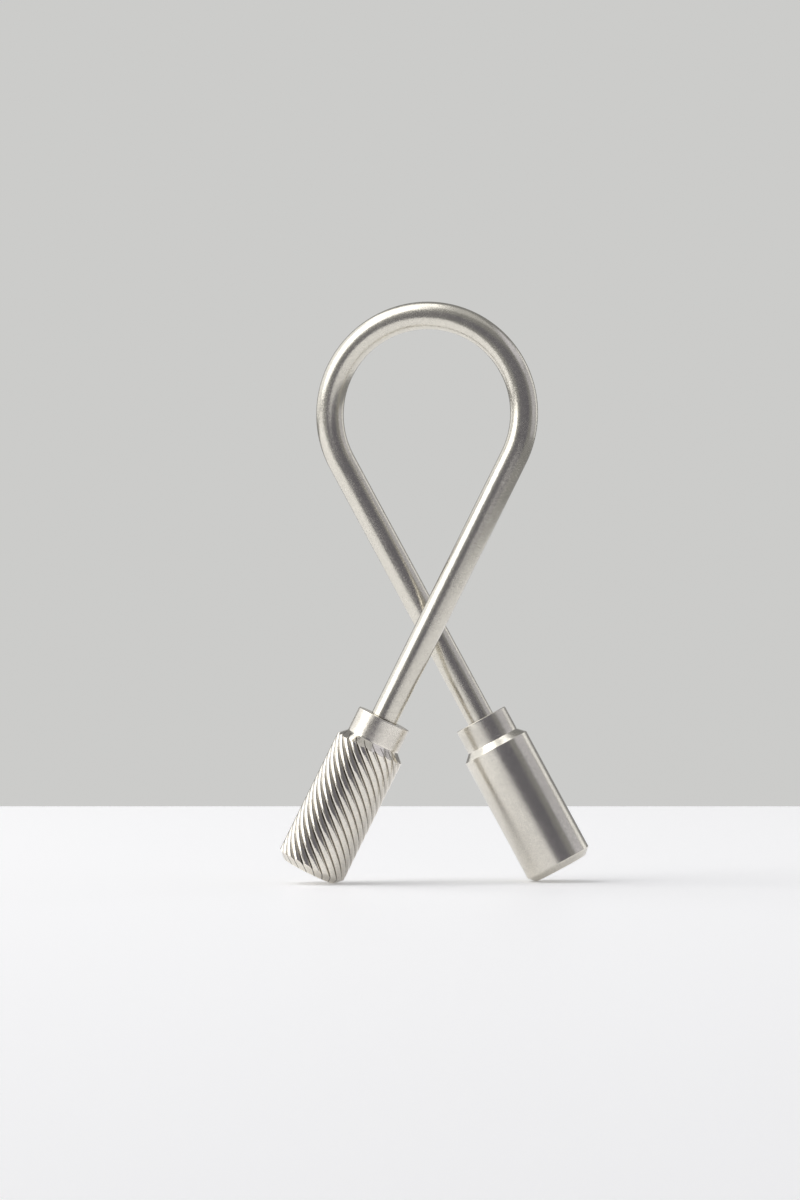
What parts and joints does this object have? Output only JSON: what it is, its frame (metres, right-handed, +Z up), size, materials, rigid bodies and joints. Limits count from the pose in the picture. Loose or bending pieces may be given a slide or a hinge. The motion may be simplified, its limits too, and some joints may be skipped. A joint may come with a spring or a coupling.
{
  "type": "key ring",
  "caption": "Crossed-loop key ring: a bent round steel rod with a bow and two crossing legs, closed by a fluted screw cap and a fixed plain cap.",
  "frame": {"origin": "under the middle of the ring, at the level of the two foot edges that it stands on", "axes": "+Z up through the bow, +X to the right when the leg with the fluted cap is in front, -Y to the front"},
  "size_m": [0.0352, 0.014, 0.0671],
  "materials": {
    "rod_steel": "satin stainless steel, fine grain",
    "fluted_steel": "turned stainless steel with burnished flutes",
    "cap_steel": "satin turned stainless steel",
    "rubber": "matte black"
  },
  "bodies": {
    "ring": {"bent_rod": "rod_steel", "plain_cap": "cap_steel"},
    "grip": {"grip_ring": "rubber"},
    "cap": {"fluted_cap": "fluted_steel"}
  },
  "joints": [
    {"name": "cap_travel", "type": "slide", "parent": "ring", "child": "grip", "axis": [-0.4446, 0, -0.8957], "range_m": [0, 0.01305]},
    {"name": "cap_turn", "type": "hinge", "parent": "grip", "child": "cap", "pos_m": [-0.00564, -0.00295, 0.019], "axis": [-0.4446, 0, -0.8957], "range_deg": [0, 10440]}
  ],
  "couplings": [
    {"joint": "cap_turn", "follows": "cap_travel", "rad_per_m": 13963}
  ]
}
